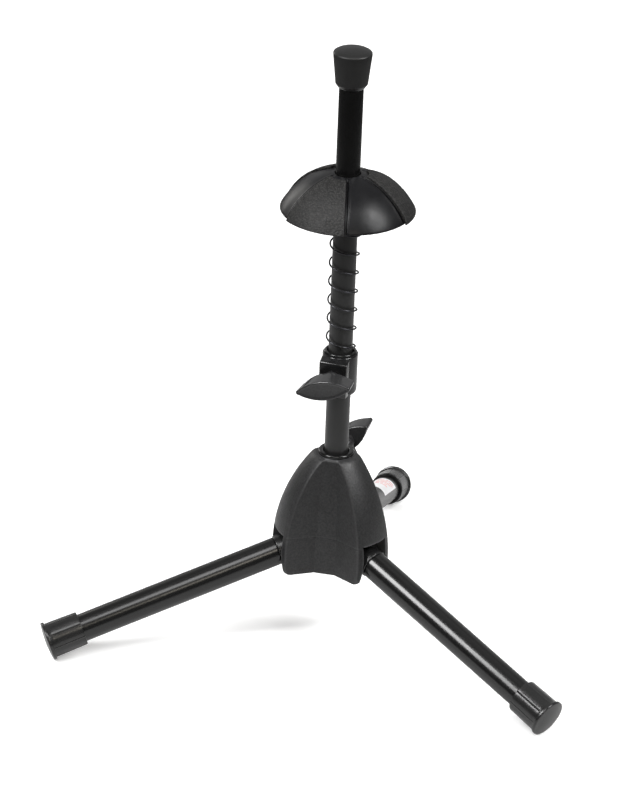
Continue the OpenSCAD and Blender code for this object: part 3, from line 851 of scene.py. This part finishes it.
def make_dome():
    """One moulded shell of six panels, with slits between them and a plain ring at the crown."""
    bm = bmesh.new()
    offsets = (0.0, 0.3, 0.45, 0.6, 0.78, 0.98, 1.2, 1.4, 1.65, 1.95, 2.4, 3.0)
    hole_r, edge, tube_r = 8.6, 0.5, 12.7
    rim_fall = math.degrees(math.acos((DOME_RIM_Z - DOME_MID_Z) / DOME_R))
    start = math.degrees(math.asin(hole_r / DOME_R))
    falls = [start + (rim_fall - start) * k / 44 for k in range(45)]
    rings = []

    def ring(radius, fall, slits):
        """One ring of vertices, at an angle down from the crown, with or without the slits."""
        s, c = math.sin(math.radians(fall)), math.cos(math.radians(fall))
        flat = radius * s
        # the slits fade out towards the crown's plain ring
        fade = min(1.0, max(0.0, (flat - 10.5) / 1.5))
        verts = []
        for panel in range(6):
            for a in panel_angles(max(flat, 6.0), offsets, 8):
                away = min(math.radians(a), math.radians(60 - a)) * flat
                lift = groove_drop(away) if slits else 0.0
                rr = radius + lift * fade
                turn = math.radians(PAD_TURN + 60 * panel + a)
                verts.append(bm.verts.new((rr * s * math.cos(turn), rr * s * math.sin(turn),
                                           DOME_MID_Z + rr * c)))
        return verts

    rings.append(ring(DOME_R - edge, start, False))
    rings.append(ring(DOME_R - edge * 0.3, start + 0.12, False))
    for fall in falls[1:-1]:
        rings.append(ring(DOME_R, fall, True))
    for k in range(1, 5):
        a = math.radians(90 * k / 4)
        rings.append(ring(DOME_R - 0.7 * (1 - math.cos(a)), rim_fall - 0.8 * (1 - math.sin(a)),
                          False))
    inner = DOME_R - DOME_WALL
    inner_rim = math.degrees(math.acos((DOME_RIM_Z - DOME_MID_Z) / inner))
    rings.append(ring(inner + 0.5, inner_rim + 0.1, False))
    for k in range(20, -1, -1):
        rings.append(ring(inner, start + (inner_rim - start) * k / 20, False))
    bridge(bm, rings + [rings[0]])
    dome = new_object("umbrella_rest", bm, 50.0)
    # the tube under the crown that holds the bush
    tube_low, tube_bore_r = 321.6, 10.4
    top = DOME_MID_Z + math.sqrt((DOME_R - DOME_WALL / 2) ** 2 - tube_r ** 2)
    bm = bmesh.new()
    lathe(bm, [(tube_bore_r, tube_low), (tube_r - 0.2, tube_low), (tube_r, tube_low + 0.2),
               (tube_r, top), (tube_bore_r, top)], closed=True)
    boolean(dome, new_object("tube", bm), "UNION")
    smooth(dome, 40.0)
    finish_piece(dome, "bell_rest", DOME_PLASTIC, "dome_plastic", "dome_shell")


def make_grip_pad(i):
    """A rubber pad over one panel: rounded edges and a cast, leather-like grain."""
    pad_r = DOME_R + PAD_PROUD
    rim_fall = math.degrees(math.acos((DOME_RIM_Z - DOME_MID_Z) / pad_r))
    start = math.degrees(math.asin(PAD_INNER_R / pad_r))
    rows, columns, edge, gap = 96, 132, 0.55, 0.9
    base = PAD_TURN + 120 * i

    def point(u, v, outer):
        """A point of the pad's outer or inner skin, across it by u and down it by v."""
        fall = start + (rim_fall - start) * v
        flat = pad_r * math.sin(math.radians(fall))
        margin = math.degrees(gap / flat)
        turn = base + margin + (60 - 2 * margin) * u
        if outer:
            side = min(u, 1 - u) * math.radians(60 - 2 * margin) * flat
            end = min(v, 1 - v) * math.radians(rim_fall - start) * DOME_R
            near = min(side, end)
            radius = pad_r
            if near < edge:
                radius -= edge - math.sqrt(max(0.0, edge ** 2 - (edge - near) ** 2))
            else:
                fade = min(1.0, (near - edge) / 0.8)
                spot = Vector((turn * flat * RADIANS, fall * 0.9, i * 7.0))
                grain = noise.noise(spot * 1.1) * 0.6 + noise.noise(spot * 2.4) * 0.4
                radius += (grain * 0.11 - 0.05) * fade
        else:
            radius = DOME_R + 0.02
        s, c = math.sin(math.radians(fall)), math.cos(math.radians(fall))
        t = math.radians(turn)
        return (radius * s * math.cos(t), radius * s * math.sin(t), DOME_MID_Z + radius * c)

    us, vs = spaced(columns, 0.012), spaced(rows, 0.014)
    bm = bmesh.new()
    outer = [[bm.verts.new(point(u, v, True)) for u in us] for v in vs]
    inner = [[bm.verts.new(point(u, v, False)) for u in us] for v in vs]
    for skin in (outer, inner):
        bridge(bm, skin, wrap=False)
    border = ([(0, j) for j in range(len(us))] + [(k, len(us) - 1) for k in range(1, len(vs))]
              + [(len(vs) - 1, j) for j in range(len(us) - 2, -1, -1)]
              + [(k, 0) for k in range(len(vs) - 2, 0, -1)])
    for (a, b), (c, d) in zip(border, border[1:] + border[:1]):
        bm.faces.new((outer[a][b], outer[c][d], inner[c][d], inner[a][b]))
    finish_piece(new_object(f"grip_{i + 1}", bm, 60.0), "bell_rest", GRIP_RUBBER, "grip_rubber",
                 f"grip_pad_{i + 1}")


def spaced(count, edge):
    """Fractions from 0 to 1, with extra steps near both ends for a rounded edge."""
    near = [0.0, edge * 0.12, edge * 0.35, edge * 0.65, edge]
    inner = [edge + (1 - 2 * edge) * k / (count + 1) for k in range(1, count + 1)]
    return near + inner + [1 - n for n in reversed(near)]


make_dome()
for number in range(3):
    make_grip_pad(number)


# ---------------------------------------------------------------- label

def make_label():
    """A plain printed film part of the way round the rear leg: bars, and no lettering."""
    place = on_leg(2)
    start, length, low_turn, arc_turn, r = 106.0, 38.0, 72.0, 175.0, LEG_R + 0.05

    def patch(name, a0, a1, h0, h1, radius, thick, material):
        bm = bmesh.new()
        steps = max(4, int((a1 - a0) / 4))
        grids = []
        for rr in (radius, radius + thick):
            grids.append([[bm.verts.new(place @ Vector((rr * math.cos(t), rr * math.sin(t), h)))
                           for t in (math.radians(a0 + (a1 - a0) * k / steps)
                                     for k in range(steps + 1))] for h in (h0, h1)])
        (b0, b1), (t0, t1) = grids
        for k in range(steps):
            bm.faces.new((t0[k], t0[k + 1], t1[k + 1], t1[k]))
            bm.faces.new((b0[k], b1[k], b1[k + 1], b0[k + 1]))
            bm.faces.new((b0[k], b0[k + 1], t0[k + 1], t0[k]))
            bm.faces.new((b1[k], t1[k], t1[k + 1], b1[k + 1]))
        bm.faces.new((b0[0], t0[0], t1[0], b1[0]))
        bm.faces.new((b0[-1], b1[-1], t1[-1], t0[-1]))
        return finish_piece(new_object(name, bm), "leg_3", material, "label_film")

    film = patch("leg_label_film", low_turn, low_turn + arc_turn, start, start + length, r, 0.08,
                 LABEL_FILM)
    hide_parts("leg_label")
    for row, ends in enumerate(((158, 186, 192, 231), (158, 205, 210, 236), (158, 172, 178, 228),
                                (158, 196, 202, 214), (158, 181, 187, 222))):
        up = start + length - 5.5 - 4.2 * row
        for part in (0, 2):
            patch(f"leg_label_bar_{row + 1}_{part // 2 + 1}", ends[part], ends[part + 1], up, up + 1.5,
                  r + 0.07, 0.03, LABEL_INK)


make_label()


# ---------------------------------------------------------------- materials of the CAD nodes

for node, material in {
    "hub_nut": BRASS, "collar_nut": BRASS,
    "leg_pin_1": PIN_STEEL, "leg_pin_2": PIN_STEEL, "leg_pin_3": PIN_STEEL,
    "hub_stud": PIN_STEEL, "collar_stud": PIN_STEEL, "hub_pad": NYLON, "collar_pad": NYLON,
    "pole_plug": INSERT_PLASTIC, "dome_bush": INSERT_PLASTIC,
}.items():
    frame["nodes"][node].data.materials.clear()
    frame["nodes"][node].data.materials.append(material)


# ---------------------------------------------------------------- floor, light and camera

def make_floor():
    """A white floor for the camera, and a plain sheet for light and reflections."""
    bm = bmesh.new()
    half = 6000.0
    ring_verts(bm, [(-half, -half, 0), (half, -half, 0), (half, half, 0), (-half, half, 0)])
    bm.verts.ensure_lookup_table()
    bm.faces.new(bm.verts[:])
    floor = new_object("floor", bm)
    floor.location.z = -0.0002
    s = Shader("floor_white", Base_Color=(0.9, 0.9, 0.9, 1), Emission_Color=(1, 1, 1, 1))
    s.rough(s.span(s.noise(3.0), 0.85, 0.95))
    away = s.add("ShaderNodeVectorMath", operation="LENGTH")
    s.link(s.position(), away.inputs[0])
    # in the dark parts' reflections the floor is a pale sheet, its middle behind the stand
    turn = math.radians(CAMERA_TURN)
    sheet_middle = Vector((-math.sin(turn), math.cos(turn), 0)) * 0.15
    sheet = s.add("ShaderNodeVectorMath", operation="DISTANCE")
    s.link(s.position(), sheet.inputs[0])
    sheet.inputs[1].default_value = sheet_middle
    dim = s.add("ShaderNodeBsdfDiffuse")
    s.link(s.tones(s.span(sheet.outputs["Value"], 0, 1, 0.32, 0.92),
                   [(0.0, grey(0.62)), (1.0, grey(0.035))]), dim.inputs["Color"])
    s.link(s.span(away.outputs["Value"], 0.3, 1.0, 0.5, 2.0), s.bsdf.inputs["Emission Strength"])
    path = s.add("ShaderNodeLightPath")
    mix = s.add("ShaderNodeMixShader")
    s.link(path.outputs["Is Camera Ray"], mix.inputs["Fac"])
    s.link(dim.outputs["BSDF"], mix.inputs[1])
    s.link(s.bsdf.outputs["BSDF"], mix.inputs[2])
    s.link(mix.outputs["Shader"], s.nodes["Material Output"].inputs["Surface"])
    floor.data.materials.append(s.material)


def seen_from(turn, rise):
    """The direction out from the stand at a turn from the front and a rise, in degrees."""
    a, e = math.radians(turn), math.radians(rise)
    return Vector((math.sin(a) * math.cos(e), -math.cos(a) * math.cos(e), math.sin(e)))


def make_light(name, turn, rise, distance, width, height, power, colour=(1, 1, 1)):
    """A softbox that faces the stand, at a turn and a rise in degrees seen from the camera."""
    back = seen_from(CAMERA_TURN + turn, rise)
    data = bpy.data.lights.new(name, "AREA")
    data.shape = "RECTANGLE"
    data.size = width
    data.size_y = height
    data.energy = power
    data.color = colour
    light = bpy.data.objects.new(name, data)
    light.location = AIM + back * distance
    light.rotation_mode = "QUATERNION"
    light.rotation_quaternion = back.to_track_quat("Z", "Y")
    bpy.context.scene.collection.objects.link(light)


def make_camera():
    """Aims off the stand's middle, because it doesn't stand in the middle of the frame."""
    back, roll = seen_from(CAMERA_TURN, CAMERA_RISE), math.radians(CAMERA_ROLL)
    data = bpy.data.cameras.new("camera")
    data.lens = CAMERA_LENS
    data.sensor_width = CAMERA_SENSOR
    data.clip_end = 50
    camera = bpy.data.objects.new("camera", data)
    camera.location = AIM + back * CAMERA_DISTANCE
    camera.rotation_mode = "QUATERNION"
    looking = (-back).to_track_quat("-Z", "Y")
    right = Vector((math.cos(roll), math.sin(roll), 0))
    up = Vector((-math.sin(roll), math.cos(roll), 0))
    aside = right * AIM_RIGHT + up * AIM_UP
    aim = AIM + looking @ Vector((aside.x, aside.y, 0)) * MM
    looking = (aim - camera.location).to_track_quat("-Z", "Y")
    camera.rotation_quaternion = looking @ Matrix.Rotation(roll, 3, "Z").to_quaternion()
    bpy.context.scene.collection.objects.link(camera)
    bpy.context.scene.camera = camera


def make_world():
    """A dim room, which looks white behind the stand."""
    world = bpy.data.worlds.new("studio")
    world.use_nodes = True
    nodes, links = world.node_tree.nodes, world.node_tree.links
    white = nodes.new("ShaderNodeBackground")
    path = nodes.new("ShaderNodeLightPath")
    mix = nodes.new("ShaderNodeMixShader")
    nodes["Background"].inputs["Color"].default_value = (1, 1, 1, 1)
    # away from the camera the room is lighter, which shows in grazing reflections
    turn = math.radians(CAMERA_TURN)
    along = nodes.new("ShaderNodeVectorMath")
    along.operation = "DOT_PRODUCT"
    along.inputs[1].default_value = (-math.sin(turn), math.cos(turn), 0)
    links.new(nodes.new("ShaderNodeTexCoord").outputs["Generated"], along.inputs[0])
    glow = nodes.new("ShaderNodeMapRange")
    for socket, number in (("From Min", 0.3), ("From Max", 0.9), ("To Min", 0.07), ("To Max", 0.5)):
        glow.inputs[socket].default_value = number
    links.new(along.outputs["Value"], glow.inputs["Value"])
    links.new(glow.outputs["Result"], nodes["Background"].inputs["Strength"])
    links.new(path.outputs["Is Camera Ray"], mix.inputs["Fac"])
    links.new(nodes["Background"].outputs["Background"], mix.inputs[1])
    links.new(white.outputs["Background"], mix.inputs[2])
    links.new(mix.outputs["Shader"], nodes["World Output"].inputs["Surface"])
    white.inputs["Color"].default_value = (1, 1, 1, 1)
    bpy.context.scene.world = world
    bpy.context.scene.view_settings.view_transform = "Standard"


make_floor()
make_world()
make_light("left_softbox", -62, 45, 1.9, 0.6, 0.9, 36)
make_light("right_softbox", 69, 46, 1.9, 0.7, 0.9, 36)
make_light("front_window", 12, 33, 2.3, 0.5, 0.4, 4, (1.0, 0.93, 0.80))
make_light("front_softbox", -10, 61, 2.1, 0.7, 0.8, 11)
make_light("rear_softbox", -142, 14, 1.9, 0.5, 0.8, 4, (1.0, 0.98, 0.94))
make_light("top_softbox", 180, 75, 2.1, 1.6, 1.3, 2)
make_camera()
